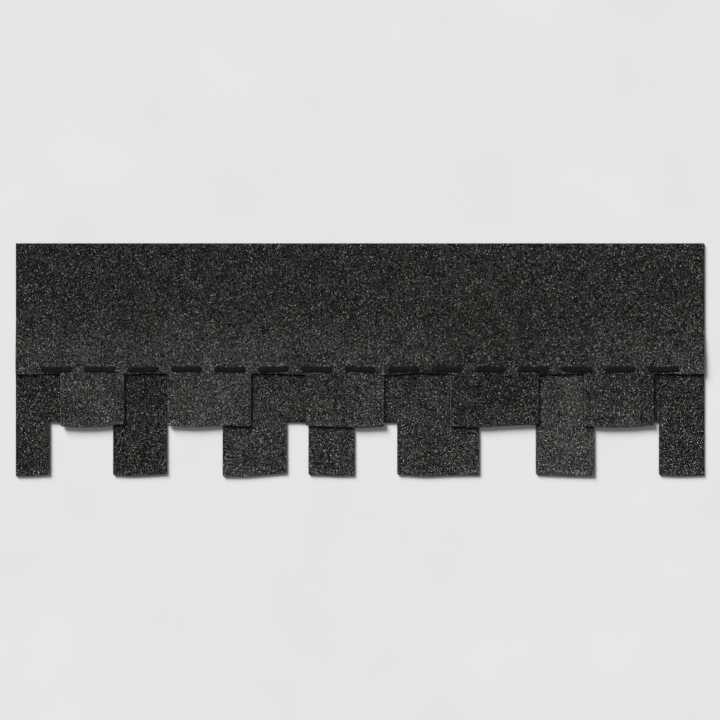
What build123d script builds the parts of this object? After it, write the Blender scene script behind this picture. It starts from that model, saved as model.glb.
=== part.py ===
"""One laminated asphalt roofing shingle, lying face up on a level floor.

Two sheets of granule-faced asphalt felt are glued together. The overlay is the
face sheet: short tabs that end half-way down the exposed part, and a plain
headlap above them. The backing lies under its lower half, and its long tabs
reach down to the butt line between the short ones. Past the backing's top edge
the headlap is one sheet thick, and it sags to the floor: a bend, a straight
ramp and a bend back.

All sizes are in millimetres. While the pieces are made, x runs along the
shingle from its left end, y up the roof from the butt line, and z up from the
floor. At the end the whole shingle is centred on its own box.
"""

import os
from math import atan, ceil, tan
from typing import NamedTuple

from build123d import *

# Overall size and lay
SHINGLE_LENGTH = 1000.0
SHINGLE_HEIGHT = 337.0
EXPOSURE = 143.0  # the part of the height that the next course leaves bare

# The two sheets
OVERLAY_THICKNESS = 2.7
BACKING_THICKNESS = 2.7
SHORT_TAB_END = 71.5  # height above the butt line at which the overlay's tabs end
CUT_OUT_COVER = 4.5  # how far the overlay's cut-outs run up past the exposure
NOTCH_COVER = 5.0  # how far the backing's notches run up behind the short tabs
BOND_WIDTH = 20.0  # glued band of the backing above the overlay's cut-outs
DRAPE_SETBACK = 1.5  # flat stretch of the overlay past the backing's top edge
DRAPE_RUN = 38.0  # between the two corners that the drape's bends round off
DRAPE_BEND_RADIUS = 113.0  # of both bends, at the overlay's underside

# Corners of the die-cut outline
TAB_CORNER_RADIUS = 2.6
CUT_CORNER_RADIUS = 1.6

# Dashes of self-sealing asphalt on the face, which the next course sticks to
SEALANT_COVER = 6.0  # from the exposure line to the strip's lower side
SEALANT_WIDTH = 10.0
SEALANT_HEIGHT = 1.1
SEALANT_EDGE_RADIUS = 0.9
DASH_LENGTH = 46.0
DASH_GAP = 17.0
DASH_END_MARGIN = 14.0  # bare face at each end of the shingle

# Film on the ramp's back, where a neighbour's sealant would touch it in a stack
FILM_WIDTH = 26.0
FILM_THICKNESS = 0.1
FILM_SETBACK = 1.0  # from the ramp's upper end
FILM_END_MARGIN = 3.0


class Tooth(NamedTuple):
    """One cut-out and the tab after it, along the web.

    A wave lists small heights above the nominal cut, evenly spaced from the
    left corner to the right one: the knife that cuts the tabs is not straight.
    """

    cut_width: float
    cut_wave: tuple
    tab_width: float
    tab_wave: tuple


# The overlay's short tabs, over one repeat of the web
OVERLAY_TEETH = [
    Tooth(98.3, (0.6, -0.8, 0.9), 92.1, (0.0, -1.6, -0.4, 2.8)),
    Tooth(63.6, (-0.5, 0.8, 0.2), 120.6, (0.6, -1.0, 1.0, 0.0)),
    Tooth(80.2, (0.9, 0.3, -0.9), 112.9, (0.6, -0.4, -2.2, -1.0)),
    Tooth(96.8, (-1.5, 1.5, 0.4), 127.7, (-0.6, -1.2, 0.8, 2.4)),
    Tooth(66.5, (0.3, -0.7, 0.5), 101.0, (0.0, -1.8, -1.2, 1.2)),
]
OVERLAY_WEB_START = 33.0  # where in the repeat the shingle's left end is cut

# The backing's long tabs, over one repeat of the web
BACKING_TEETH = [
    Tooth(94.2, (0.4, -0.6, 0.7), 73.7, (0.4, -0.8, -0.6, 0.6)),
    Tooth(92.7, (0.8, -0.4, 0.3), 77.8, (0.0, -0.9, 0.0, 1.8)),
    Tooth(81.4, (-0.6, 0.7, 0.1), 92.6, (-1.6, -1.8, 0.4, 2.8)),
    Tooth(32.1, (0.2, 0.6, -0.4), 66.5, (0.8, 0.2, -0.9, -0.4)),
    Tooth(62.4, (0.5, -0.5, -0.2), 118.8, (0.8, -1.2, 0.2, 0.6)),
    Tooth(82.6, (-0.3, 0.8, 0.6), 84.9, (1.2, 0.0, -1.2, -1.2)),
]
BACKING_WEB_START = 119.2

# Levels that follow from the sizes above
CUT_OUT_TOP = EXPOSURE + CUT_OUT_COVER
NOTCH_TOP = SHORT_TAB_END + NOTCH_COVER
BACKING_TOP = CUT_OUT_TOP + BOND_WIDTH
FACE_LEVEL = BACKING_THICKNESS + OVERLAY_THICKNESS
SEALANT_BOTTOM = EXPOSURE + SEALANT_COVER

# The drape, worked out so that it sinks by the backing's thickness
HALF_SLOPE = atan(BACKING_THICKNESS / DRAPE_RUN) / 2
BEND_RADIUS = min(DRAPE_BEND_RADIUS, 0.45 * DRAPE_RUN / tan(HALF_SLOPE))
BEND_REACH = BEND_RADIUS * tan(HALF_SLOPE)  # from a bend's corner to its arc's ends
CREST_Y = BACKING_TOP + DRAPE_SETBACK + BEND_REACH
FOOT_Y = CREST_Y + DRAPE_RUN


def wavy_cut(left, right, wave):
    """The knife's line between two corners, level where it meets them."""
    steps = len(wave) - 1
    span = right[0] - left[0]
    inner = [
        (left[0] + span * step / steps, left[1] + wave[step] - wave[0])
        for step in range(1, steps)
    ]
    return Spline(left, *inner, right, tangents=[(1, 0), (1, 0)])


def stretch(left_x, right_x, level, wave, radius, outward):
    """One tab end or one cut-out top with its two corners, from left to right.

    outward is -1 for a tab end, whose corners round upwards into the tab's
    sides, and +1 for a cut-out's top, whose corners turn down.
    """
    radius = min(radius, (right_x - left_x) / 3)
    left_level = level + wave[0]
    right_level = level + wave[-1]
    quarter_turn = -90 * outward
    into = JernArc((left_x, left_level - outward * radius), (0, outward), radius, quarter_turn)
    cut = wavy_cut((left_x + radius, left_level), (right_x - radius, right_level), wave)
    out_of = JernArc((right_x - radius, right_level), (1, 0), radius, quarter_turn)
    return [into, cut, out_of]


def web_outline(teeth, web_start, tab_level, cut_level, top_level):
    """The plan of one sheet, cut from the endless web at the shingle's two ends."""
    repeat = sum(tooth.cut_width + tooth.tab_width for tooth in teeth)
    copies = ceil((SHINGLE_LENGTH + web_start) / repeat)
    x = -web_start
    cuts = []
    for tooth in teeth * copies:
        tab_x = x + tooth.cut_width
        end_x = tab_x + tooth.tab_width
        cuts.append(stretch(x, tab_x, cut_level, tooth.cut_wave, CUT_CORNER_RADIUS, 1))
        cuts.append(stretch(tab_x, end_x, tab_level, tooth.tab_wave, TAB_CORNER_RADIUS, -1))
        x = end_x
    edges = [edge for group in cuts for edge in group]
    sides = [
        Line(before[-1] @ 1, after[0] @ 0) for before, after in zip(cuts, cuts[1:])
    ]
    start = edges[0] @ 0
    end = edges[-1] @ 1
    rim = Polyline(end, (end.X, top_level), (start.X, top_level), start)
    web = make_face(Curve() + edges + sides + [rim])
    reach = top_level - tab_level
    blank = Pos(SHINGLE_LENGTH / 2, top_level - reach) * Rectangle(SHINGLE_LENGTH, 2 * reach)
    return web & blank


def drape_line(offset):
    """The overlay's underside, or a line at an even offset above it.

    An offset line's corners lie on the lines that halve the corner angles, and
    its two bends keep the centres of the underside's bends.
    """
    shift = offset * tan(HALF_SLOPE)
    return FilletPolyline(
        (0, BACKING_THICKNESS + offset),
        (CREST_Y + shift, BACKING_THICKNESS + offset),
        (FOOT_Y + shift, offset),
        (FOOT_Y + SHINGLE_HEIGHT, offset),
        radius=[BEND_RADIUS + offset, BEND_RADIUS - offset],
    )


def draped_band(low_offset, high_offset, near_y, far_y, length):
    """A sheet that follows the drape between two offsets and two heights up the roof."""
    low = drape_line(low_offset)
    high = drape_line(high_offset)
    profile = make_face([low, high, Line(low @ 0, high @ 0), Line(low @ 1, high @ 1)])
    window = Pos((near_y + far_y) / 2, 0) * Rectangle(far_y - near_y, 4 * FACE_LEVEL)
    return extrude(Plane.YZ * (profile & window), length)


def overlay_sheet():
    """The face sheet: the draped blank, cut through by its own plan."""
    plan = web_outline(
        OVERLAY_TEETH, OVERLAY_WEB_START, SHORT_TAB_END, CUT_OUT_TOP, SHINGLE_HEIGHT
    )
    blank = draped_band(0, OVERLAY_THICKNESS, 0, SHINGLE_HEIGHT, SHINGLE_LENGTH)
    return blank & extrude(plan, 2 * FACE_LEVEL)


def backing_sheet():
    """The lower sheet, flat on the floor under the overlay's lower half."""
    plan = web_outline(BACKING_TEETH, BACKING_WEB_START, 0, NOTCH_TOP, BACKING_TOP)
    return extrude(plan, BACKING_THICKNESS)


def sealant_strip():
    """A row of low beads on the overlay's face, as many as the length takes."""
    room = SHINGLE_LENGTH - 2 * DASH_END_MARGIN
    pitch = DASH_LENGTH + DASH_GAP
    count = max(1, int((room + DASH_GAP) // pitch))
    first_x = (SHINGLE_LENGTH - (count - 1) * pitch) / 2
    middle_y = SEALANT_BOTTOM + SEALANT_WIDTH / 2
    bead = extrude(SlotOverall(DASH_LENGTH, SEALANT_WIDTH), SEALANT_HEIGHT)
    rim = bead.faces().sort_by(Axis.Z)[-1].edges()
    bead = fillet(rim, min(SEALANT_EDGE_RADIUS, 0.9 * SEALANT_HEIGHT))
    places = [Pos(first_x + pitch * dash, middle_y, FACE_LEVEL) for dash in range(count)]
    return Compound([place * bead for place in places])


def release_film():
    """A band of thin film on the back, just past the backing's top edge."""
    near_y = CREST_Y + BEND_REACH + FILM_SETBACK
    length = SHINGLE_LENGTH - 2 * FILM_END_MARGIN
    band = draped_band(-FILM_THICKNESS, 0, near_y, near_y + FILM_WIDTH, length)
    return Pos(FILM_END_MARGIN, 0, 0) * band


def main():
    pieces = {
        "overlay_sheet": overlay_sheet(),
        "backing_sheet": backing_sheet(),
        "sealant_strip": sealant_strip(),
        "release_film": release_film(),
    }
    box = Compound(list(pieces.values())).bounding_box()
    to_centre = Pos(-box.center().X, -box.center().Y, -box.min.Z)
    os.makedirs("parts", exist_ok=True)
    for name, piece in pieces.items():
        export_step(to_centre * piece, f"parts/{name}.step")


main()
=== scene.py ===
"""The looks of one laminated asphalt shingle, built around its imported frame.

Two sheets of granule-faced asphalt felt lie on each other: the overlay with its
short tabs above, the backing with its long tabs below. Each is a closed shell
over a grid that follows the sheet's cut outline. Crushed mineral granules of
four colours are bedded in the faces, and their blend changes from tab to tab.

Lengths are in metres. Web places run along the shingle from its left end and
up the roof from its butt line, as they do where the shingle is cut.
"""

from typing import NamedTuple

import bpy
import numpy as np
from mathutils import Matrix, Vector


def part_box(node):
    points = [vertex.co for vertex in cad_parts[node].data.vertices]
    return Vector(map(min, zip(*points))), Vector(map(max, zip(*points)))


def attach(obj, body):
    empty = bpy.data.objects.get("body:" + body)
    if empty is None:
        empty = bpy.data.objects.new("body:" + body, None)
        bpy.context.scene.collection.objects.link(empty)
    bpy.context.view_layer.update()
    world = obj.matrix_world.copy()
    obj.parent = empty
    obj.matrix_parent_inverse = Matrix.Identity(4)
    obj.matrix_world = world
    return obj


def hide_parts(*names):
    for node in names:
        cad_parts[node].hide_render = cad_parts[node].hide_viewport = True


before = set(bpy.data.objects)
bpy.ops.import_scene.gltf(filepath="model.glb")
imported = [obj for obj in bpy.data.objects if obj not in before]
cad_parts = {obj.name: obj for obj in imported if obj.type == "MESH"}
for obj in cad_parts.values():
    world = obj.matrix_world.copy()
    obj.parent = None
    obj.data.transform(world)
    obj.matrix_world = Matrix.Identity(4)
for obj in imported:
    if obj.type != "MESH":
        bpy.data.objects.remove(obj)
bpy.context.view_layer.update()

MM = 0.001

# The shingle's own sizes
SHINGLE_HEIGHT = 337.0 * MM
EXPOSURE = 143.0 * MM  # the part of the height that the next course leaves bare
SHORT_TAB_END = 71.5 * MM
CUT_OUT_COVER = 4.5 * MM  # how far the overlay's cut-outs run up past the exposure
NOTCH_COVER = 5.0 * MM  # how far the backing's notches run up behind the short tabs
TAB_CORNER_RADIUS = 2.6 * MM
CUT_CORNER_RADIUS = 1.6 * MM
DRAPE_SETBACK = 1.5 * MM
DRAPE_RUN = 38.0 * MM
BEND_RADIUS = 113.0 * MM
DASH_LENGTH = 46.0 * MM
DASH_GAP = 17.0 * MM
FILM_THICKNESS = 0.1 * MM
CUT_OUT_TOP = EXPOSURE + CUT_OUT_COVER
NOTCH_TOP = SHORT_TAB_END + NOTCH_COVER

# Places and thicknesses read from the frame
OVERLAY_LOW, OVERLAY_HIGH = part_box("overlay_sheet")
BACKING_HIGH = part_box("backing_sheet")[1]
SEALANT_LOW, SEALANT_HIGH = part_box("sealant_strip")
FILM_LOW, FILM_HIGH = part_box("release_film")
LEFT_END = OVERLAY_LOW.x
BUTT_LINE = OVERLAY_HIGH.y - SHINGLE_HEIGHT
SHINGLE_LENGTH = OVERLAY_HIGH.x - OVERLAY_LOW.x
BACKING_THICKNESS = BACKING_HIGH.z
OVERLAY_THICKNESS = OVERLAY_HIGH.z - BACKING_HIGH.z
BACKING_TOP = BACKING_HIGH.y - BUTT_LINE
SEALANT_WIDTH = SEALANT_HIGH.y - SEALANT_LOW.y
SEALANT_HEIGHT = SEALANT_HIGH.z - SEALANT_LOW.z
SEALANT_MIDDLE = (SEALANT_LOW.y + SEALANT_HIGH.y) / 2 - BUTT_LINE

# The sheets' surfaces
GRID_CELL = 5.0 * MM
BED_DEPTH = 0.42 * MM  # from the face down to the asphalt between the granules
SHARP_EDGE = np.radians(50)

# The cut edge: how far its rows stand out, their shares of the way down, and its roughness
CUT_RIM = [(0.20 * MM, 0.08), (0.28 * MM, 0.32), (0.14 * MM, 0.62), (0.20 * MM, 0.88)]
RIM_ROUGHNESS = 0.12 * MM

# How the limp shingle lies on a level floor: swells are in radians for each metre along and up
LIFT = 0.16 * MM
LONG_SWELL = (9.1, 17.0)
LONG_SWELL_SHIFT = (1.3, 0.4)
SLANTED_SWELL = (23.0, -11.0)
SLANTED_SHARE = 0.6

# How the tabs curl, most at their free corners
SHORT_TAB_CURL = 0.70 * MM
LONG_TAB_CURL = 0.45 * MM
CURL_SHARES = (0.35, 1.0)  # the least and the most of it that a tab has
CURL_LEAN = 0.5  # the most that one corner has more of it, and the other less
CURL_AT_MIDDLE = 0.35
FULLEST_CURL = 1.1  # in shares of the way from a tab's root to its end
TAB_MARGIN = 0.02  # beside a tab, in shares of its width

# Granules: where they lie, and how each stone differs
GRANULE_PITCH = 1.22 * MM
GRANULE_NUDGE = 0.33  # in pitches
GRANULE_RADIUS = 0.53 * MM
RADIUS_RANGE = (0.72, 1.22)
HIGHEST_STAND = 0.35  # of a stone's middle over the asphalt, in radii
STONE_WIDTHS = (0.72, 1.2)
CORNER_NUDGE = 0.17  # in radii
EDGE_INSET = 0.25 * MM
BEAD_COVER = 0.82  # the part of a bead's half width that has no stones under it
# A line of the backing beside the overlay's outline keeps no granules, as painted shade: its width, and
# the range that it is scaled by
PAINTED_SHADE_LINE = 1.9 * MM
PAINTED_SHADE_RANGE = (0.5, 1.2)

# The blend at tone 1: each colour's share, with black as the rest, and the share of each that is
# pressed in flush. A stone that stands out draws its colour from the blend's light side, and no
# other one draws from its palest end.
PALE_SHARE = 0.089
GREY_SHARE = 0.25
GREY_POWER = 1.3
CHARCOAL_SHARE = 0.325
PRESSED_IN = np.array([0.62, 0.10, 0.0, 0.0])
LIGHT_SIDE = 0.48
PALEST_END = 0.07

# Tones: a headlap of its own, a faint band under the cut-outs' tops, and painted light that makes
# the tab ends lighter, where the curled tabs would catch more of it. The headlap's stones have
# fewer sides and look darker, so its tone is raised to match the tabs.
HEADLAP_TONE = 0.74
HEADLAP_FADE_START = EXPOSURE - 31.0 * MM
HEADLAP_FADE_STOP = EXPOSURE + 127.0 * MM
PLAIN_STONE_TONE = 1.08
SHADOW_BAND_TONE = 0.90
SHADOW_BAND_START = 4.0 * MM
SHADOW_BAND_STOP = 76.0 * MM
TAB_END_PAINTED_LIGHT = 1.20
TAB_END_LIGHT_REACH = 13.0 * MM

# Clouds in the tones: sizes of the wide and the small ones, and how strong they are
OVERLAY_CLOUD = 19.0 * MM
BACKING_CLOUD = 17.0 * MM
SMALL_CLOUD = 7.0 * MM
WIDE_CLOUDS = 0.13
SMALL_CLOUDS = 0.08
HEADLAP_CLOUDS = 0.5

# Sealant beads: a wave is its height and its radians for each metre, and breadth, fullness, ragged
# outlines and dents are shares of the sealant's size in the frame
BEAD_ROWS = 13
BEAD_COLUMNS = 37
BEAD_RIM = 0.02 * MM
BEAD_PHASES = (0, 6.3)  # in radians, about a full turn
BEAD_WOBBLES = [(0.35 * MM, 95), (0.20 * MM, 260)]
BEAD_BREADTH = 0.90
BREADTH_WAVE = (0.06, 150)
RAGGED_CELL = 2.6 * MM
RAGGED_SIDE = 0.08
RAGGED_END = 0.02
BEAD_FULLNESS = 0.78
FULLNESS_WAVE = (0.10, 140)
DENT_CELL = 3.1 * MM
DENT_DEPTH = 0.17

# Release film: its grid, and its wrinkles in radians for each metre along and across the band
FILM_COLUMNS = 300
FILM_ROWS = 9
WRINKLE = 0.03 * MM
WRINKLES_ALONG = 210
WRINKLES_ACROSS = 90
WRINKLE_SWING = 40  # of their phase, in radians

# The stage
FLOOR_REACH = 30.0
FLOOR_DROP = 0.05 * MM
KEY_TOWARD = (-1.26, 1.72, 1.0)
KEY_SPREAD = 28  # in degrees
KEY_LEVEL = 0.80
WORLD_LEVEL = 0.20
WORLD_SHOWN = 0.80  # to the camera and in gloss
CAMERA_LENS = 85.0  # in millimetres, as its sensor's width is
SEEN_WIDTH = 1.045 * SHINGLE_LENGTH

# Seeds of the random draws. The tabs' leans and the small clouds take the one after the seed
# written here, and the stones' pieces and the beads count up from theirs.
OVERLAY_SEED = 1
BACKING_SEED = 2
OVERLAY_CLOUD_SEED = 5
BACKING_CLOUD_SEED = 7
DENT_SEED = 9
RAGGED_SEED = 10
LONG_TAB_SEED = 11
SHORT_TAB_SEED = 21
GRANULE_SEED = 41
STONE_SEED = 50
BEAD_SEED = 80


class Tooth(NamedTuple):
    """A cut-out and the tab after it: widths and knife waves in millimetres, and the tab's tone."""

    cut_width: float
    cut_wave: tuple
    tab_width: float
    tab_wave: tuple
    tone: float


# The overlay's short tabs, over one repeat of the web
OVERLAY_TEETH = [
    Tooth(98.3, (0.6, -0.8, 0.9), 92.1, (0.0, -1.6, -0.4, 2.8), 1.14),
    Tooth(63.6, (-0.5, 0.8, 0.2), 120.6, (0.6, -1.0, 1.0, 0.0), 1.24),
    Tooth(80.2, (0.9, 0.3, -0.9), 112.9, (0.6, -0.4, -2.2, -1.0), 1.04),
    Tooth(96.8, (-1.5, 1.5, 0.4), 127.7, (-0.6, -1.2, 0.8, 2.4), 0.80),
    Tooth(66.5, (0.3, -0.7, 0.5), 101.0, (0.0, -1.8, -1.2, 1.2), 0.94),
]
OVERLAY_WEB_START = 33.0 * MM  # where in the repeat the shingle's left end is cut

# The backing's long tabs, over one repeat of the web
BACKING_TEETH = [
    Tooth(94.2, (0.4, -0.6, 0.7), 73.7, (0.4, -0.8, -0.6, 0.6), 0.92),
    Tooth(92.7, (0.8, -0.4, 0.3), 77.8, (0.0, -0.9, 0.0, 1.8), 0.82),
    Tooth(81.4, (-0.6, 0.7, 0.1), 92.6, (-1.6, -1.8, 0.4, 2.8), 1.06),
    Tooth(32.1, (0.2, 0.6, -0.4), 66.5, (0.8, 0.2, -0.9, -0.4), 1.00),
    Tooth(62.4, (0.5, -0.5, -0.2), 118.8, (0.8, -1.2, 0.2, 0.6), 0.98),
    Tooth(82.6, (-0.3, 0.8, 0.6), 84.9, (1.2, 0.0, -1.2, -1.2), 1.26),
]
BACKING_WEB_START = 119.2 * MM


def knife_wave(heights, share):
    """A smooth line through evenly spaced heights, level at its two ends.

    Between two heights it is the cubic that meets both with their slopes, and
    an inner height's slope is half the rise between its two neighbours.
    """
    heights = np.asarray(heights, float)
    slopes = np.zeros(len(heights))
    slopes[1:-1] = (heights[2:] - heights[:-2]) / 2
    place = np.clip(share, 0, 1) * (len(heights) - 1)
    before = np.minimum(place.astype(int), len(heights) - 2)
    t = place - before
    return (
        heights[before] * (1 + 2 * t) * (1 - t) ** 2
        + slopes[before] * t * (1 - t) ** 2
        + heights[before + 1] * t**2 * (3 - 2 * t)
        + slopes[before + 1] * t**2 * (t - 1)
    )


def ease(value, start, stop):
    """0 before start, 1 past stop, and a smooth S between them."""
    t = np.clip((value - start) / (stop - start), 0, 1)
    return t * t * (3 - 2 * t)


def mottle(x, y, cell, seed):
    """Clouds between -1 and 1: random heights on a square lattice, smoothly joined.

    The lattice reaches four cells past the shingle's left end and butt line,
    and further past its other two sides, so that every point lies on it.
    """
    margin = 4
    rows = int(SHINGLE_HEIGHT / cell) + 3 * margin
    columns = int(SHINGLE_LENGTH / cell) + 3 * margin
    lattice = np.random.default_rng(seed).uniform(-1, 1, (rows, columns))
    column = x / cell + margin
    row = y / cell + margin
    i = column.astype(int)
    j = row.astype(int)
    u = ease(column - i, 0, 1)
    v = ease(row - j, 0, 1)
    below = lattice[j, i] * (1 - u) + lattice[j, i + 1] * u
    above = lattice[j + 1, i] * (1 - u) + lattice[j + 1, i + 1] * u
    return below * (1 - v) + above * v


def corner_steps(radius, count=4):
    """Distances from a side at which a quarter circle of that radius turns by even angles."""
    return radius * (1 - np.cos(np.linspace(0, np.pi / 2, count + 1)))


class Web:
    """The cut-outs and tabs of one sheet, which follow each other along the shingle.

    Stretch k runs from sides[k] to sides[k + 1]. It is a cut-out where k is
    even and a tab where k is odd. The teeth are taken twice, because once
    they don't reach the shingle's right end.
    """

    def __init__(self, teeth, start, tab_level, cut_level):
        teeth = list(teeth) * 2
        widths = [width for tooth in teeth for width in (tooth.cut_width, tooth.tab_width)]
        self.sides = np.cumsum([0, *widths]) * MM - start
        self.waves = [wave for tooth in teeth for wave in (tooth.cut_wave, tooth.tab_wave)]
        self.tones = np.array([tooth.tone for tooth in teeth])
        self.cut_level = cut_level
        self.tab_level = tab_level
        shown = (self.sides[:-1] < SHINGLE_LENGTH - GRID_CELL) & (self.sides[1:] > GRID_CELL)
        self.stretches = np.flatnonzero(shown)

    def is_tab(self, k):
        return k % 2 == 1

    def cut_line(self, k, x):
        """The knife's line over stretch k: its level, its wave, and quarter circles at its corners.

        A corner turns up into a tab's side, and down beside a cut-out's top.
        """
        left = self.sides[k]
        right = self.sides[k + 1]
        tab = self.is_tab(k)
        radius = TAB_CORNER_RADIUS if tab else CUT_CORNER_RADIUS
        wave = knife_wave(self.waves[k], (x - left) / (right - left)) * MM
        near = np.clip(np.minimum(x - left, right - x), 0, radius)
        corner = radius - np.sqrt(radius**2 - (radius - near) ** 2)
        if tab:
            return self.tab_level + wave + corner
        return self.cut_level + wave - corner

    def shoulder_line(self, k, x):
        """Across a tab's root: straight from one neighbouring cut-out's corner to the other's."""
        left = self.cut_level + self.waves[k - 1][-1] * MM - CUT_CORNER_RADIUS
        right = self.cut_level + self.waves[k + 1][0] * MM - CUT_CORNER_RADIUS
        return np.interp(x, self.sides[[k, k + 1]], [left, right])

    def columns(self, k):
        """The grid's columns over stretch k, closer together where its corners turn."""
        corner = corner_steps(TAB_CORNER_RADIUS if self.is_tab(k) else CUT_CORNER_RADIUS)
        left = self.sides[k]
        right = self.sides[k + 1]
        first = left + corner if left > 0 else np.zeros(1)
        last = right - corner[::-1] if right < SHINGLE_LENGTH else np.full(1, SHINGLE_LENGTH)
        count = max(2, round((last[0] - first[-1]) / GRID_CELL) + 1)
        return np.concatenate([first, np.linspace(first[-1], last[0], count)[1:-1], last])

    def lower_edge(self, x):
        """How far down the roof the sheet reaches at each x."""
        edge = np.full(np.shape(x), np.inf)
        for k in self.stretches:
            here = (x >= self.sides[k]) & (x <= self.sides[k + 1])
            edge[here] = self.cut_line(k, x[here])
        return edge

    def clearance(self, x, y):
        """How far each point that the sheet leaves bare lies from the sheet's outline.

        Below a tab it is the way up to its end. In a cut-out it is the shortest
        of the ways up to its top and across to the two tabs beside it.
        """
        gap = np.full(np.shape(x), np.inf)
        under = np.clip(self.tab_level - y, 0, None)
        for k in self.stretches:
            here = (x >= self.sides[k]) & (x <= self.sides[k + 1])
            up = self.cut_line(k, x[here]) - y[here]
            if self.is_tab(k):
                gap[here] = up
            else:
                across = np.minimum(x[here] - self.sides[k], self.sides[k + 1] - x[here])
                gap[here] = np.minimum(up, np.hypot(across, under[here]))
        return gap

    def in_tab(self, x, y):
        """For each point its tab's number, its share of the way across, and of the way up to the root."""
        tab = np.clip((np.searchsorted(self.sides, x) - 1) // 2, 0, len(self.tones) - 1)
        left = self.sides[2 * tab + 1]
        right = self.sides[2 * tab + 2]
        across = (x - left) / (right - left)
        up = (y - self.tab_level) / (self.cut_level - self.tab_level)
        return tab, across, up

    def tone(self, x):
        """The tabs' tones along the shingle: even over a tab, and sliding over the cut-outs between."""
        return np.interp(x, self.sides[1:], np.repeat(self.tones, 2))


OVERLAY = Web(OVERLAY_TEETH, OVERLAY_WEB_START, SHORT_TAB_END, CUT_OUT_TOP)
BACKING = Web(BACKING_TEETH, BACKING_WEB_START, 0.0, NOTCH_TOP)


def drape(y):
    """The overlay's underside up the roof: level, a bend, a straight ramp, a bend back, level.

    Both bends are arcs of one radius. The drop is what the first arc has sunk,
    plus the ramp's slope times its run, plus what the second arc has sunk.
    """
    slope = np.arctan(BACKING_THICKNESS / DRAPE_RUN)
    reach = BEND_RADIUS * np.tan(slope / 2)
    arc_run = BEND_RADIUS * np.sin(slope)
    arc_drop = BEND_RADIUS * (1 - np.cos(slope))
    start = BACKING_TOP + DRAPE_SETBACK
    stop = start + 2 * reach + DRAPE_RUN
    into = np.clip(y - start, 0, arc_run)
    ramp = np.clip(y - start - arc_run, 0, stop - start - 2 * arc_run)
    left = np.clip(stop - y, 0, arc_run)
    first = BEND_RADIUS - np.sqrt(BEND_RADIUS**2 - into**2)
    second = arc_drop - (BEND_RADIUS - np.sqrt(BEND_RADIUS**2 - left**2))
    return BACKING_THICKNESS - first - np.tan(slope) * ramp - second


def floor_lift(x, y):
    """How far the limp shingle stands off a level floor: wide, low waves that never go below it.

    A product of two sines along and up, plus a weaker sine on a slant, raised
    by the most that they can sink together.
    """
    along, up = LONG_SWELL
    along_shift, up_shift = LONG_SWELL_SHIFT
    swell = np.sin(along * x + along_shift) * np.sin(up * y + up_shift)
    slant_along, slant_up = SLANTED_SWELL
    swell = swell + SLANTED_SHARE * np.sin(slant_along * x + slant_up * y)
    return LIFT * (swell + 1 + SLANTED_SHARE)


def tab_curl(web, x, y, height, seed):
    """The free end of each tab stands up a little, most at its two corners.

    The lift is a height of its own for each tab, times the square of the way
    from the root to the end, times a bowl across the tab that leans to a side.
    """
    tab, across, up = web.in_tab(x, y)
    count = len(web.tones)
    strength = np.random.default_rng(seed).uniform(*CURL_SHARES, count)
    lean = np.random.default_rng(seed + 1).uniform(-CURL_LEAN, CURL_LEAN, count)
    out = np.clip(1 - up, 0, FULLEST_CURL) ** 2
    aside = 2 * across - 1
    bowl = CURL_AT_MIDDLE + (1 - CURL_AT_MIDDLE) * aside**2 + lean[tab] * aside
    inside = (across > -TAB_MARGIN) & (across < 1 + TAB_MARGIN)
    return np.where(inside, height * strength[tab] * out * bowl, 0)


def backing_base(x, y):
    """The backing's underside above the floor."""
    return floor_lift(x, y) + tab_curl(BACKING, x, y, LONG_TAB_CURL, LONG_TAB_SEED)


def overlay_base(x, y):
    """The overlay's underside: it follows the drape, the backing's waves, and its own tabs' curl."""
    return drape(y) + floor_lift(x, y) + tab_curl(OVERLAY, x, y, SHORT_TAB_CURL, SHORT_TAB_SEED)


def clouds(x, y, wide_cell, seed):
    """Slow changes of a face's tone, as shares of it: wide clouds with small ones over them."""
    wide = WIDE_CLOUDS * mottle(x, y, wide_cell, seed)
    return wide + SMALL_CLOUDS * mottle(x, y, SMALL_CLOUD, seed + 1)


def tab_tone_and_end_light(web, x, y):
    """The tabs' own tones, with painted light that makes them a little lighter over the last stretch
    towards their ends, where the curled tabs would catch more of it.
    """
    end_light_share = 1 - ease(y - web.tab_level, 0, TAB_END_LIGHT_REACH)
    return web.tone(x) * (1 + (TAB_END_PAINTED_LIGHT - 1) * end_light_share)


def overlay_tone(x, y):
    """The blend of the overlay's face: its tabs' tones, fading slowly into the headlap's even one."""
    headlap = ease(y, HEADLAP_FADE_START, HEADLAP_FADE_STOP)
    tone = tab_tone_and_end_light(OVERLAY, x, y) * (1 - headlap) + HEADLAP_TONE * headlap
    tone = np.where(y > CUT_OUT_TOP, PLAIN_STONE_TONE * tone, tone)
    change = clouds(x, y, OVERLAY_CLOUD, OVERLAY_CLOUD_SEED) * (1 - HEADLAP_CLOUDS * headlap)
    return tone * (1 + change)


def backing_tone(x, y):
    """The blend of the backing's face: its tabs' tones under a faint band below the cut-outs' tops."""
    band = 1 - ease(CUT_OUT_TOP - y, SHADOW_BAND_START, SHADOW_BAND_STOP)
    tone = tab_tone_and_end_light(BACKING, x, y) * (1 - band * (1 - SHADOW_BAND_TONE))
    return tone * (1 + clouds(x, y, BACKING_CLOUD, BACKING_CLOUD_SEED))


def to_frame(x, y, z):
    """Web places as points of the part's own frame."""
    return np.stack([x + LEFT_END, y + BUTT_LINE, z], -1).reshape(-1, 3)


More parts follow.
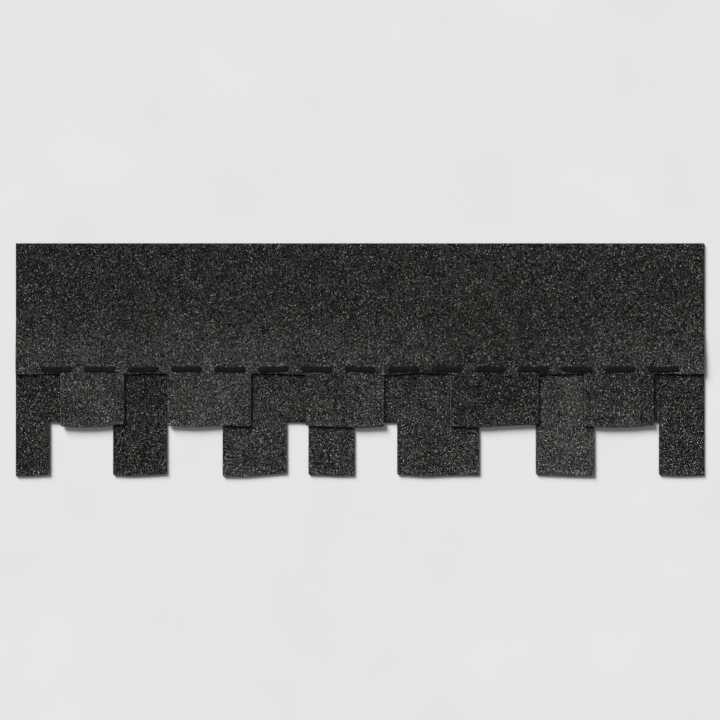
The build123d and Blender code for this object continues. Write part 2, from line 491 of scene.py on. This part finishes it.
def make_piece(name, points, faces, values=None, slots=None, smooth=True):
    """A mesh object at the origin from whole arrays, with its named values kept as attributes."""
    corners = faces.shape[1]
    mesh = bpy.data.meshes.new(name)
    mesh.vertices.add(len(points))
    mesh.vertices.foreach_set("co", points.astype(np.float32).ravel())
    mesh.loops.add(faces.size)
    mesh.loops.foreach_set("vertex_index", faces.astype(np.int32).ravel())
    mesh.polygons.add(len(faces))
    mesh.polygons.foreach_set("loop_start", np.arange(0, faces.size, corners, dtype=np.int32))
    mesh.polygons.foreach_set("use_smooth", np.full(len(faces), smooth))
    if slots is not None:
        mesh.polygons.foreach_set("material_index", slots.astype(np.int32))
    mesh.update(calc_edges=True)
    for key, value in (values or {}).items():
        attribute = mesh.attributes.new(key, "FLOAT", "POINT")
        attribute.data.foreach_set("value", value.astype(np.float32))
    piece = bpy.data.objects.new(name, mesh)
    bpy.context.scene.collection.objects.link(piece)
    return piece


# The material slots of a sheet
FACE = 0
EDGE = 1
BACK = 2


def cell_corners(number):
    """The four corners of each cell of a grid of numbered points, turning to the left."""
    return number[:-1, :-1], number[:-1, 1:], number[1:, 1:], number[1:, :-1]


def border_edges(number, solid):
    """The grid's edges that have a filled cell on their left and none on their right."""
    a, b, c, d = cell_corners(number)
    around = np.pad(solid, 1)
    borders = [
        (a, b, around[:-2, 1:-1]),
        (b, c, around[1:-1, 2:]),
        (c, d, around[2:, 1:-1]),
        (d, a, around[1:-1, :-2]),
    ]
    return np.concatenate([np.stack([p, q], -1)[solid & ~beyond] for p, q, beyond in borders])


def outward_on(plan, edges):
    """At every point of the plan, the sum of the ways out across the edges that meet there."""
    along = plan[edges[:, 1]] - plan[edges[:, 0]]
    across = np.stack([along[:, 1], -along[:, 0]], -1) / np.linalg.norm(along, axis=1)[:, None]
    outward = np.zeros_like(plan)
    np.add.at(outward, edges[:, 0], across)
    np.add.at(outward, edges[:, 1], across)
    return outward


def shell(name, x, y, top, bottom, solid, rim, roughness, tone, seed):
    """A closed sheet over a grid: a top, a bottom, and a wall round every cut edge.

    x, y, top, bottom and tone are grids of points, and solid says which of the
    cells between them the sheet fills. The wall's rows stand off the outline
    by rim's distances at rim's shares of the way down, plus a little noise.
    """
    number = np.arange(x.size).reshape(x.shape)
    top_faces = np.stack(cell_corners(number), -1)[solid]
    edges = border_edges(number, solid)
    plan = np.stack([x.ravel(), y.ravel()], -1)
    rim_points, place = np.unique(edges, return_inverse=True)
    place = place.reshape(edges.shape)
    outward = outward_on(plan, edges)[rim_points]
    outward /= np.linalg.norm(outward, axis=1)[:, None]

    draw = np.random.default_rng(seed)
    points = [to_frame(x, y, top), to_frame(x, y, bottom)]
    depth = [np.zeros(x.size), np.ones(x.size)]
    rows = [edges]
    for distance, share in rim:
        stand = distance + roughness * draw.uniform(-1, 1, len(rim_points))
        spot = plan[rim_points] + outward * stand[:, None]
        high = top.ravel()[rim_points]
        low = bottom.ravel()[rim_points]
        rows.append(sum(map(len, points)) + place)
        points.append(to_frame(spot[:, 0], spot[:, 1], high + (low - high) * share))
        depth.append(np.full(len(rim_points), share))
    rows.append(edges + x.size)
    walls = [
        np.stack([upper[:, 0], lower[:, 0], lower[:, 1], upper[:, 1]], -1)
        for upper, lower in zip(rows, rows[1:])
    ]
    faces = np.concatenate([top_faces, top_faces[:, ::-1] + x.size, *walls])
    slots = np.repeat([FACE, BACK, EDGE], [len(top_faces)] * 2 + [len(edges) * len(walls)])
    tones = [tone.ravel(), tone.ravel()] + [tone.ravel()[rim_points]] * len(rim)
    used, faces = np.unique(faces, return_inverse=True)
    values = {"depth": np.concatenate(depth)[used], "tone": np.concatenate(tones)[used]}
    piece = make_piece(name, np.concatenate(points)[used], faces.reshape(-1, 4), values, slots)
    piece.data.set_sharp_from_angle(angle=SHARP_EDGE)
    return piece


def smooth_shell(name, x, y, top, bottom):
    """A closed shell over a whole grid, with a plain wall, so no draws, and no tone of its own."""
    solid = np.ones((x.shape[0] - 1, x.shape[1] - 1), bool)
    return shell(name, x, y, top, bottom, solid, [], 0, x * 0, 0)


def cut_sheet(name, web, top_y, thickness, base, tone, seed):
    """One sheet: a grid of columns along the web, and of rows from tab ends to roots to the top.

    Rows below the roots belong to the tabs alone, so cells there are left
    empty over the cut-outs.
    """
    columns = [web.columns(k) for k in web.stretches]
    counts = [len(part) - 1 for part in columns]
    x = np.concatenate([part[:-1] for part in columns] + [columns[-1][-1:]])
    starts = np.cumsum([0, *counts])
    tab_end = np.full(len(x), np.nan)
    root = np.full(len(x), np.nan)
    for k, first, last in zip(web.stretches, starts, starts[1:]):
        span = slice(first, last + 1)
        if web.is_tab(k):
            tab_end[span] = web.cut_line(k, x[span])
            root[span] = web.shoulder_line(k, x[span])
        else:
            root[span] = web.cut_line(k, x[span])
    tab_end = np.where(np.isnan(tab_end), root, tab_end)
    tab_rows = round((web.cut_level - web.tab_level) / GRID_CELL)
    top_rows = round((top_y - web.cut_level) / GRID_CELL)
    up_tab = np.linspace(0, 1, tab_rows + 1)[:-1, None]
    up_strip = np.linspace(0, 1, top_rows + 1)[:, None]
    y = np.concatenate([tab_end + (root - tab_end) * up_tab, root + (top_y - root) * up_strip])
    x = np.broadcast_to(x, y.shape)
    tab_cells = np.repeat([web.is_tab(k) for k in web.stretches], counts)
    solid = np.ones((y.shape[0] - 1, y.shape[1] - 1), bool)
    solid[:tab_rows] = tab_cells
    low = base(x, y)
    high = low + thickness - BED_DEPTH
    return shell(name, x, y, high, low, solid, CUT_RIM, RIM_ROUGHNESS, tone(x, y), seed)


class Form(NamedTuple):
    """A stone's plain form: its corners, its flat sides, and how much larger it is made.

    A form with fewer sides fills less of its sphere, so it is made larger.
    """

    corners: np.ndarray
    sides: np.ndarray
    swell: float


def double_cone(sides, swell):
    """A crushed stone's plain form: a ring of corners, and one point above and one below it."""
    this = np.arange(sides)
    after = (this + 1) % sides
    turn = this * 2 * np.pi / sides
    ring = np.stack([np.cos(turn), np.sin(turn), 0 * turn], -1)
    upper = np.stack([this, after, np.full(sides, sides)], -1)
    lower = np.stack([after, this, np.full(sides, sides + 1)], -1)
    corners = np.concatenate([ring, [(0, 0, 1), (0, 0, -1)]])
    return Form(corners, np.concatenate([upper, lower]), swell)


SHARD = Form(
    np.array([(1, 1, 1), (1, -1, -1), (-1, 1, -1), (-1, -1, 1)]) / np.sqrt(3),
    np.array([(0, 1, 2), (0, 3, 1), (0, 2, 3), (1, 3, 2)]),
    1.15,
)
CHIP = double_cone(3, 1.0)
GRAIN = double_cone(4, 0.92)
SHADES = ["black", "charcoal", "grey", "pale"]
HEADLAP_FORMS = [SHARD, SHARD, SHARD, CHIP]
TAB_FORMS = [SHARD, SHARD, CHIP, GRAIN]


def turned(draw, count):
    """Even random turns: the rotation matrices of random unit quaternions."""
    drawn = draw.normal(size=(4, count))
    w, i, j, k = drawn / np.linalg.norm(drawn, axis=0)
    return np.array(
        [
            [1 - 2 * (j * j + k * k), 2 * (i * j - k * w), 2 * (i * k + j * w)],
            [2 * (i * j + k * w), 1 - 2 * (i * i + k * k), 2 * (j * k - i * w)],
            [2 * (i * k - j * w), 2 * (j * k + i * w), 1 - 2 * (i * i + j * j)],
        ]
    ).transpose(2, 0, 1)


def crushed(name, form, places, radius, seed):
    """Crushed stone, joined in one mesh: a form with few faces, squeezed, nudged and turned at random.

    Each stone is its form's corners times three random widths, each corner
    moved a little, turned, scaled to its radius and set at its place.
    """
    radius = form.swell * radius
    draw = np.random.default_rng(seed)
    count = len(places)
    squeezed = form.corners * draw.uniform(*STONE_WIDTHS, (count, 1, 3))
    nudged = squeezed + draw.uniform(-CORNER_NUDGE, CORNER_NUDGE, (count, len(form.corners), 3))
    stones = np.einsum("nij,ncj->nci", turned(draw, count), nudged)
    points = places[:, None] + stones * radius[:, None, None]
    faces = form.sides + len(form.corners) * np.arange(count)[:, None, None]
    grain = np.repeat(draw.uniform(0, 1, count), len(form.corners))
    return make_piece(
        name, points.reshape(-1, 3), faces.reshape(-1, 3), {"grain": grain}, smooth=False
    )


def bead_middles():
    """Where the sealant's beads have their middles along the shingle, evenly spaced."""
    low = SEALANT_LOW.x - LEFT_END + DASH_LENGTH / 2
    high = SEALANT_HIGH.x - LEFT_END - DASH_LENGTH / 2
    return np.linspace(low, high, round((high - low) / (DASH_LENGTH + DASH_GAP)) + 1)


def out_of_bead(x, y):
    """How far each point is from the nearest bead's spine: 0 on it, and 1 on the bead's outline."""
    middles = bead_middles()
    gaps = (middles[1:] + middles[:-1]) / 2
    along = np.abs(x - middles[np.searchsorted(gaps, x)])
    over = np.clip(along - (DASH_LENGTH - SEALANT_WIDTH) / 2, 0, None)
    return np.hypot(over, y - SEALANT_MIDDLE) / (SEALANT_WIDTH / 2)


def scattered(draw):
    """Points all over the shingle's box, and which of them stand out.

    The points are a lattice of even triangles, each nudged off its place, and
    it begins below the butt line, because the tabs' waves dip under it. One in
    three stands out, so that no two of those are neighbours.
    """
    row_gap = GRANULE_PITCH * np.sqrt(3) / 2
    rows_below = 2
    rows = int(SHINGLE_HEIGHT / row_gap) + 2 * rows_below
    columns = int(SHINGLE_LENGTH / GRANULE_PITCH) + 2
    j, i = np.mgrid[:rows, :columns]
    nudge = draw.uniform(-GRANULE_NUDGE, GRANULE_NUDGE, (2, rows, columns))
    x = (i + 0.5 * (j % 2) + nudge[0]) * GRANULE_PITCH
    y = (j - rows_below) * row_gap + nudge[1] * GRANULE_PITCH
    stands_out = (i - j // 2 - j) % 3 == 0
    return x.ravel(), y.ravel(), stands_out.ravel()


def bedded(draw):
    """The places of all granules in the faces: x, y, which are the overlay's, and which stand out.

    None lies on a cut edge or under a bead. Along the overlay's outline a line of the backing is
    left without granules, unevenly wide, so that its black asphalt paints shade beside the overlay.
    """
    x, y, stands_out = scattered(draw)
    right_end = SHINGLE_LENGTH - EDGE_INSET
    inside = (x > EDGE_INSET) & (x < right_end) & (y < SHINGLE_HEIGHT - EDGE_INSET)
    x, y, stands_out = x[inside], y[inside], stands_out[inside]
    overlay_edge = OVERLAY.lower_edge(x)
    on_overlay = (y > overlay_edge + EDGE_INSET) & (out_of_bead(x, y) > BEAD_COVER)
    on_backing = (y < overlay_edge) & (y > BACKING.lower_edge(x) + EDGE_INSET)
    # Painted shade: no granules on the backing within this unevenly wide line of the overlay's outline
    bare = PAINTED_SHADE_LINE * draw.uniform(*PAINTED_SHADE_RANGE, len(x))
    kept = on_overlay | (on_backing & (OVERLAY.clearance(x, y) > bare))
    return x[kept], y[kept], on_overlay[kept], stands_out[kept]


def blend_of(tone, chance):
    """Which colour each granule has: 0 black, 1 charcoal, 2 grey, 3 pale.

    A higher tone gives more pale, grey and charcoal granules, and fewer black ones.
    """
    pale = PALE_SHARE * tone
    grey = GREY_SHARE * tone**GREY_POWER
    charcoal = CHARCOAL_SHARE * tone
    return (chance < pale + grey + charcoal).astype(int) + (chance < pale + grey) + (chance < pale)


def granules():
    """Every granule that stands on the faces, sorted by zone and colour into pieces.

    A share of the dark ones is pressed in flush, and the bed's finish shows those.
    """
    draw = np.random.default_rng(GRANULE_SEED)
    x, y, on_overlay, stands_out = bedded(draw)
    base = np.where(on_overlay, overlay_base(x, y), backing_base(x, y))
    thickness = np.where(on_overlay, OVERLAY_THICKNESS, BACKING_THICKNESS)
    tone = np.where(on_overlay, overlay_tone(x, y), backing_tone(x, y))
    radius = GRANULE_RADIUS * draw.uniform(*RADIUS_RANGE, len(x))
    stand = draw.uniform(0.0, HIGHEST_STAND, len(x)) * radius
    places = to_frame(x, y, base + thickness - BED_DEPTH + stand)
    chance = draw.uniform(0, 1, len(x))
    chance = np.where(stands_out, LIGHT_SIDE * chance, PALEST_END + (1 - PALEST_END) * chance)
    colour = blend_of(tone, chance)
    stands = draw.uniform(0, 1, len(x)) >= PRESSED_IN[colour]
    headlap = y > CUT_OUT_TOP
    zones = [
        ("headlap", "granule_overlay", HEADLAP_FORMS, on_overlay & headlap),
        ("short_tab", "granule_overlay", TAB_FORMS, on_overlay & ~headlap),
        ("long_tab", "granule_backing", TAB_FORMS, ~on_overlay),
    ]
    made = []
    for zone, slot, forms, in_zone in zones:
        for number, (shade, form) in enumerate(zip(SHADES, forms)):
            here = in_zone & stands & (colour == number)
            name = f"{zone}_granules_{shade}"
            piece = crushed(name, form, places[here], radius[here], STONE_SEED + len(made))
            piece.data.materials.append(GRANULE_FINISHES[shade])
            made.append((piece, slot))
    return made


def bead_plan():
    """A bead's grid: the way across it from -1 to 1, the way along it, and the way out to its rim.

    Its half length shrinks at its sides as a half circle's does. The way out
    is 0 on the spine and 1 on the rim.
    """
    half_width = SEALANT_WIDTH / 2
    straight = DASH_LENGTH / 2 - half_width
    across, u = np.meshgrid(
        np.sin(np.linspace(-1, 1, BEAD_ROWS) * np.pi / 2),
        np.sin(np.linspace(-1, 1, BEAD_COLUMNS) * np.pi / 2),
        indexing="ij",
    )
    along = u * (straight + half_width * np.sqrt(np.clip(1 - across**2, 0, 1)))
    over = np.clip(np.abs(along) - straight, 0, None) / half_width
    return across, along, np.clip(np.hypot(across, over), 0, 1)


def sealant_bead(number, middle):
    """One bead: a closed shell over a rounded strip.

    Its height is full along the spine and falls as the root of one minus the
    cube of the way out, on a seat that falls as one minus its sixth power. A
    slow wobble bends the bead and changes its breadth, small clouds push its
    outline in and out where it ran between the stones, and others dent its top.
    """
    across, along, out = bead_plan()
    half_width = SEALANT_WIDTH / 2
    phase = np.random.default_rng(BEAD_SEED + number).uniform(*BEAD_PHASES, 3)
    wobble = 0
    for (height, pace), shift in zip(BEAD_WOBBLES, phase):
        wobble = wobble + height * np.sin(pace * along + shift)
    plain_y = SEALANT_MIDDLE + across * half_width
    ragged = mottle(middle + along, plain_y, RAGGED_CELL, RAGGED_SEED)
    wave, pace = BREADTH_WAVE
    breadth = BEAD_BREADTH + wave * np.sin(pace * along + phase[2]) + RAGGED_SIDE * ragged
    x = middle + along * (1 - RAGGED_END * np.abs(ragged))
    y = SEALANT_MIDDLE + across * half_width * breadth + wobble
    wave, pace = FULLNESS_WAVE
    fullness = BEAD_FULLNESS + wave * np.sin(pace * along + phase[1])
    fullness = fullness + DENT_DEPTH * mottle(x, y, DENT_CELL, DENT_SEED)
    low = overlay_base(x, y) + OVERLAY_THICKNESS - BED_DEPTH
    rise = SEALANT_HEIGHT * fullness * np.sqrt(1 - out**3)
    high = low + BED_DEPTH * (1 - out**6) + rise + BEAD_RIM
    return smooth_shell(f"bead_{number}", x, y, high, low)


def join(pieces, name):
    """Several objects as one, under the first one's mesh."""
    with bpy.context.temp_override(
        active_object=pieces[0], selected_editable_objects=pieces, object=pieces[0]
    ):
        bpy.ops.object.join()
    pieces[0].name = name
    pieces[0].data.name = name
    return pieces[0]


def sealant_beads():
    """The row of low beads on the face, as one piece."""
    beads = [sealant_bead(number, middle) for number, middle in enumerate(bead_middles())]
    return join(beads, "sealant_dashes")


def film_band():
    """The release film: a thin closed shell on the ramp's underside, with faint wrinkles across it.

    The wrinkles stand as one plus a sine along the band, whose phase swings
    with a second sine across it.
    """
    x = np.linspace(FILM_LOW.x, FILM_HIGH.x, FILM_COLUMNS) - LEFT_END
    y = np.linspace(FILM_LOW.y, FILM_HIGH.y, FILM_ROWS) - BUTT_LINE
    x, y = np.meshgrid(x, y)
    phase = WRINKLE_SWING * np.sin(WRINKLES_ACROSS * y)
    wrinkle = WRINKLE * (1 + np.sin(WRINKLES_ALONG * x + phase))
    high = drape(y) + floor_lift(x, y)
    low = high - FILM_THICKNESS - wrinkle
    return smooth_shell("film_band", x, y, high, low)


class Nodes:
    """A material's node tree, with one short call for each node."""

    def __init__(self, name):
        self.material = bpy.data.materials.new(name)
        self.material.use_nodes = True
        self.tree = self.material.node_tree
        self.shader = self.tree.nodes["Principled BSDF"]

    def add(self, kind, inputs=None, **settings):
        """A new node: settings are its own fields, and inputs are constants or other nodes' outputs."""
        node = self.tree.nodes.new(kind)
        for field, value in settings.items():
            setattr(node, field, value)
        for key, value in (inputs or {}).items():
            self.feed(node.inputs[key], value)
        return node

    def feed(self, socket, value):
        """Links an output to a socket, or sets the socket to a constant."""
        if isinstance(value, bpy.types.NodeSocket):
            self.tree.links.new(value, socket)
        else:
            socket.default_value = value

    def maths(self, operation, first, second=0.0):
        return self.add("ShaderNodeMath", {0: first, 1: second}, operation=operation).outputs[0]

    def ramp(self, value, stops, interpolation="LINEAR"):
        """A colour ramp over value, with stops as (place, colour), or (place, level) for an even grey."""
        node = self.add("ShaderNodeValToRGB", {0: value})
        node.color_ramp.interpolation = interpolation
        elements = node.color_ramp.elements
        while len(elements) < len(stops):
            elements.new(1.0)
        for element, (place, colour) in zip(elements, stops):
            element.position = place
            element.color = (*np.broadcast_to(colour, 3), 1.0)
        return node.outputs[0]

    def mix(self, share, first, second, blend="MIX"):
        """Two colours mixed: 6 and 7 are the node's sockets for a pair of colours."""
        node = self.add("ShaderNodeMix", data_type="RGBA", blend_type=blend)
        self.feed(node.inputs[0], share)
        self.feed(node.inputs[6], first)
        self.feed(node.inputs[7], second)
        return node.outputs[2]

    def bump(self, height, strength, distance, normal=None):
        inputs = {"Height": height, "Strength": strength, "Distance": distance}
        if normal is not None:
            inputs["Normal"] = normal
        return self.add("ShaderNodeBump", inputs).outputs[0]

    def place(self):
        return self.add("ShaderNodeTexCoord").outputs["Object"]

    def value(self, name):
        """A value that the mesh keeps at its points."""
        return self.add("ShaderNodeAttribute", attribute_name=name).outputs["Fac"]

    def cells(self, fineness, feature="F1"):
        """Packed grains, with so many of them along a metre."""
        return self.add(
            "ShaderNodeTexVoronoi", {"Vector": self.place(), "Scale": fineness}, feature=feature
        )

    def one_of(self, cells):
        """A number between 0 and 1 for each grain."""
        return self.add("ShaderNodeSeparateColor", {0: cells.outputs["Color"]}).outputs[0]

    def noise(self, fineness, detail=2.0, stretch=None):
        """Noise with so many swells along a metre, or times stretch in x, y and z."""
        place = self.place()
        if stretch:
            place = self.add("ShaderNodeMapping", {"Vector": place, "Scale": stretch}).outputs[0]
        inputs = {"Vector": place, "Scale": fineness, "Detail": detail}
        return self.add("ShaderNodeTexNoise", inputs).outputs["Fac"]

    def finish(self, colour, roughness, normal=None, **constants):
        """The shader's inputs, with constants named as its sockets."""
        self.feed(self.shader.inputs["Base Color"], colour)
        self.feed(self.shader.inputs["Roughness"], roughness)
        if normal is not None:
            self.feed(self.shader.inputs["Normal"], normal)
        for key, value in constants.items():
            self.shader.inputs[key.replace("_", " ")].default_value = value
        return self.material


# The stones' and the asphalt's colours, and how far stones of one colour differ
BLACK = (0.0054, 0.0047, 0.0038)
CHARCOAL = (0.0352, 0.0333, 0.0306)
GREY = (0.190, 0.187, 0.181)
PALE = (0.740, 0.730, 0.710)
ASPHALT = (0.0029, 0.0024, 0.0018)
SPREADS = {"black": 0.5, "charcoal": 0.4, "grey": 0.35, "pale": 0.55}
LIGHT_SPREAD = 1.2  # the light stones of a colour differ more from it than the dark ones do
WARM = (1.01, 1.0, 0.98)
STONE_GLOSS = 0.02


def granule_finish(shade, colour):
    """One colour of crushed stone: each stone is a little lighter or darker, and faintly speckled."""
    nodes = Nodes(f"granule_{shade}")
    spread = SPREADS[shade]
    dark = np.multiply(colour, 1 - spread)
    light = np.multiply(colour, 1 + spread * LIGHT_SPREAD)
    warm = light * WARM
    stone = nodes.ramp(nodes.value("grain"), [(0.0, dark), (0.55, colour), (0.8, warm), (1.0, light)])
    speckle = nodes.ramp(nodes.noise(5200.0), [(0.3, 0.72), (0.7, 1.25)])
    mixed = nodes.mix(1.0, stone, speckle, "MULTIPLY")
    normal = nodes.bump(nodes.noise(2600.0, 3.0), 0.6, 0.15 * MM)
    return nodes.finish(mixed, 0.8, normal, Specular_IOR_Level=STONE_GLOSS)


def granule_bed(name):
    """The face between the standing granules: smaller ones in four colours, pressed in black asphalt.

    Asphalt fills the seams between them, and a higher tone gives more light ones.
    """
    nodes = Nodes(name)
    fineness = 1150.0
    tone_share = 0.2
    cells = nodes.cells(fineness)
    gaps = nodes.cells(fineness, "DISTANCE_TO_EDGE").outputs["Distance"]
    shift = nodes.maths("MULTIPLY", nodes.maths("SUBTRACT", nodes.value("tone"), 1.0), tone_share)
    chance = nodes.maths("ADD", nodes.one_of(cells), shift)
    stops = [(0.0, ASPHALT), (0.35, BLACK), (0.68, CHARCOAL), (0.93, GREY)]
    stone = nodes.ramp(chance, stops, "CONSTANT")
    seam = nodes.ramp(gaps, [(0.02, 1.0), (0.14, 0.0)])
    colour = nodes.mix(seam, stone, (*ASPHALT, 1.0))
    domes = nodes.bump(nodes.maths("MULTIPLY", cells.outputs["Distance"], -1.0), 0.9, 0.6 * MM)
    normal = nodes.bump(nodes.noise(2400.0, 3.0), 0.5, 0.2 * MM, domes)
    roughness = nodes.maths("SUBTRACT", 0.84, nodes.maths("MULTIPLY", seam, 0.22))
    return nodes.finish(colour, roughness, normal, Specular_IOR_Level=STONE_GLOSS)


def cut_edge():
    """The knife's cut: black asphalt with stone dust, and the pale fibres of the mat half-way down.

    The way down is shifted by noise of 0 to 1, so that the layers' lines run
    unevenly. A ramp ends at 1, so it and the layers' places are both divided by
    a place past the last layer.
    """
    nodes = Nodes("cut_edge")
    depth = nodes.maths("ADD", nodes.value("depth"), nodes.noise(900.0))
    deepest = 1.5
    layers = [
        # The top layer is pale: broken stone at the cut, and partly a painted highlight along the wall's
        # upper rim
        (0.58, (0.170, 0.166, 0.156)),
        (0.72, (0.014, 0.013, 0.012)),
        (0.92, (0.016, 0.015, 0.014)),
        (1.00, (0.090, 0.082, 0.068)),
        (1.08, (0.016, 0.015, 0.014)),
        (1.35, (0.022, 0.021, 0.019)),
    ]
    stops = [(place / deepest, colour) for place, colour in layers]
    layered = nodes.ramp(nodes.maths("DIVIDE", depth, deepest), stops)
    dust = nodes.ramp(nodes.noise(3800.0, 4.0), [(0.50, 0.0), (0.72, 1.0)])
    colour = nodes.mix(nodes.maths("MULTIPLY", dust, 0.5), layered, (0.12, 0.115, 0.10, 1.0))
    normal = nodes.bump(nodes.noise(1700.0, 4.0), 0.8, 0.3 * MM)
    return nodes.finish(colour, 0.82, normal, Specular_IOR_Level=0.3)


def sanded_back():
    """The underside: grey sand pressed in asphalt, thicker and thinner in faint streaks along it.

    Streaks and patches come to about 1 together, so their share is taken off
    again, and the sand is lighter in some places and darker in others.
    """
    nodes = Nodes("sanded_back")
    cover_share = 0.45
    grains = nodes.cells(1700.0)
    streaks = nodes.noise(5.0, 3.0, (1.0, 22.0, 1.0))
    patches = nodes.noise(38.0, 4.0)
    cover = nodes.maths("MULTIPLY", nodes.maths("ADD", streaks, patches), cover_share)
    chance = nodes.maths("SUBTRACT", nodes.maths("ADD", nodes.one_of(grains), cover), cover_share)
    stops = [
        (0.0, (0.016, 0.015, 0.014)),
        (0.22, (0.052, 0.050, 0.046)),
        (0.45, (0.098, 0.094, 0.087)),
        (0.70, (0.150, 0.145, 0.134)),
        (0.93, (0.270, 0.262, 0.245)),
    ]
    sand = nodes.ramp(chance, stops, "CONSTANT")
    dust = nodes.ramp(nodes.noise(5200.0), [(0.3, 0.8), (0.7, 1.2)])
    domes = nodes.bump(nodes.maths("MULTIPLY", grains.outputs["Distance"], -1.0), 0.7, 0.4 * MM)
    normal = nodes.bump(nodes.noise(3200.0, 3.0), 0.4, 0.1 * MM, domes)
    return nodes.finish(nodes.mix(1.0, sand, dust, "MULTIPLY"), 0.9, normal, Specular_IOR_Level=0.15)


def fresh_sealant():
    """Self-seal asphalt: deep black and dull, with slow ripples, fine pores and a little stone dust."""
    nodes = Nodes("fresh_sealant")
    dust = nodes.noise(2200.0, 4.0)
    colour = nodes.ramp(dust, [(0.58, (0.0042, 0.0040, 0.0037)), (0.76, (0.110, 0.106, 0.098))])
    roughness = nodes.ramp(nodes.noise(210.0, 3.0), [(0.35, 0.50), (0.7, 0.85)])
    ripples = nodes.bump(nodes.noise(260.0, 2.0, (1.0, 0.45, 1.0)), 0.9, 1.6 * MM)
    normal = nodes.bump(nodes.noise(1500.0, 3.0), 0.4, 0.3 * MM, ripples)
    return nodes.finish(colour, roughness, normal, Specular_IOR_Level=0.04)


def clear_film():
    """Release film on asphalt: milky, with fine lines along its roll and faint creases across it."""
    nodes = Nodes("clear_film")
    lines = nodes.noise(30.0, 3.0, (0.5, 60.0, 1.0))
    haze = nodes.noise(24.0, 4.0)
    shade = nodes.maths("ADD", nodes.maths("MULTIPLY", lines, 0.7), nodes.maths("MULTIPLY", haze, 0.3))
    tint = nodes.ramp(shade, [(0.35, (0.150, 0.153, 0.158)), (0.65, (0.205, 0.209, 0.215))])
    creases = nodes.bump(nodes.noise(60.0, 3.0, (3.0, 0.4, 1.0)), 0.5, 0.8 * MM)
    return nodes.finish(tint, 0.2, creases)


def put_on(piece, slot, *materials, replaces=()):
    """The last step for every piece: its finishes, its body and the nodes it stands for. Its slot is not
    used.
    """
    for material in materials:
        piece.data.materials.append(material)
    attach(piece, "root")
    if replaces:
        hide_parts(*replaces)


def pale_floor():
    """A level floor far wider than the shingle, just under it."""
    nodes = Nodes("pale_floor")
    shade = nodes.ramp(nodes.noise(6.0), [(0.3, (0.775, 0.775, 0.77)), (0.7, (0.80, 0.80, 0.795))])
    nodes.finish(shade, 0.9, Specular_IOR_Level=0.1)
    corners = np.array([(-1, -1, 0), (1, -1, 0), (1, 1, 0), (-1, 1, 0)]) * FLOOR_REACH
    corners[:, 2] = -FLOOR_DROP
    floor = make_piece("floor", corners, np.array([(0, 1, 2, 3)]), smooth=False)
    floor.data.materials.append(nodes.material)


def distant_light(name, toward, spread, level):
    """A far, wide lamp that lights a level floor evenly: level 1 shows a colour as it is written."""
    toward = np.divide(toward, np.linalg.norm(toward))
    lamp = bpy.data.lights.new(name, "SUN")
    lamp.angle = np.radians(spread)
    lamp.energy = np.pi * level / toward[2]
    light = bpy.data.objects.new(name, lamp)
    bpy.context.scene.collection.objects.link(light)
    flat = np.hypot(toward[0], toward[1])
    light.rotation_euler = (np.arctan2(flat, toward[2]), 0, np.arctan2(toward[0], -toward[1]))


def studio():
    """A key lamp up the roof, and an even world that shows itself paler than it lights."""
    distant_light("key", KEY_TOWARD, KEY_SPREAD, KEY_LEVEL)
    world = bpy.data.worlds.new("studio")
    bpy.context.scene.world = world
    world.use_nodes = True
    tree = world.node_tree
    background = tree.nodes["Background"]
    background.inputs["Color"].default_value = (1.0, 1.0, 1.0, 1.0)
    path = tree.nodes.new("ShaderNodeLightPath")
    seen = tree.nodes.new("ShaderNodeMath")
    seen.operation = "MAXIMUM"
    strength = tree.nodes.new("ShaderNodeMapRange")
    strength.inputs["To Min"].default_value = WORLD_LEVEL
    strength.inputs["To Max"].default_value = WORLD_SHOWN
    tree.links.new(path.outputs["Is Camera Ray"], seen.inputs[0])
    tree.links.new(path.outputs["Is Glossy Ray"], seen.inputs[1])
    tree.links.new(seen.outputs[0], strength.inputs["Value"])
    tree.links.new(strength.outputs["Result"], background.inputs["Strength"])


def camera_above():
    """A long lens straight above the shingle's middle, with the butt edge at the picture's foot."""
    camera = bpy.data.cameras.new("camera")
    camera.lens = CAMERA_LENS
    rig = bpy.data.objects.new("camera", camera)
    bpy.context.scene.collection.objects.link(rig)
    rig.location = (0, 0, OVERLAY_HIGH.z + SEEN_WIDTH * CAMERA_LENS / camera.sensor_width)
    bpy.context.scene.camera = rig


GRANULE_FINISHES = {
    shade: granule_finish(shade, colour)
    for shade, colour in zip(SHADES, [BLACK, CHARCOAL, GREY, PALE])
}

edge = cut_edge()
back = sanded_back()
overlay = cut_sheet(
    "overlay_face", OVERLAY, SHINGLE_HEIGHT, OVERLAY_THICKNESS, overlay_base, overlay_tone, OVERLAY_SEED
)
backing = cut_sheet(
    "backing_face", BACKING, BACKING_TOP, BACKING_THICKNESS, backing_base, backing_tone, BACKING_SEED
)
put_on(overlay, "granule_overlay", granule_bed("overlay_bed"), edge, back, replaces=["overlay_sheet"])
put_on(backing, "granule_backing", granule_bed("backing_bed"), edge, back, replaces=["backing_sheet"])
for stones, stones_slot in granules():
    put_on(stones, stones_slot)
put_on(sealant_beads(), "sealant", fresh_sealant(), replaces=["sealant_strip"])
put_on(film_band(), "film", clear_film(), replaces=["release_film"])

pale_floor()
studio()
camera_above()
bpy.context.scene.view_settings.view_transform = "Standard"
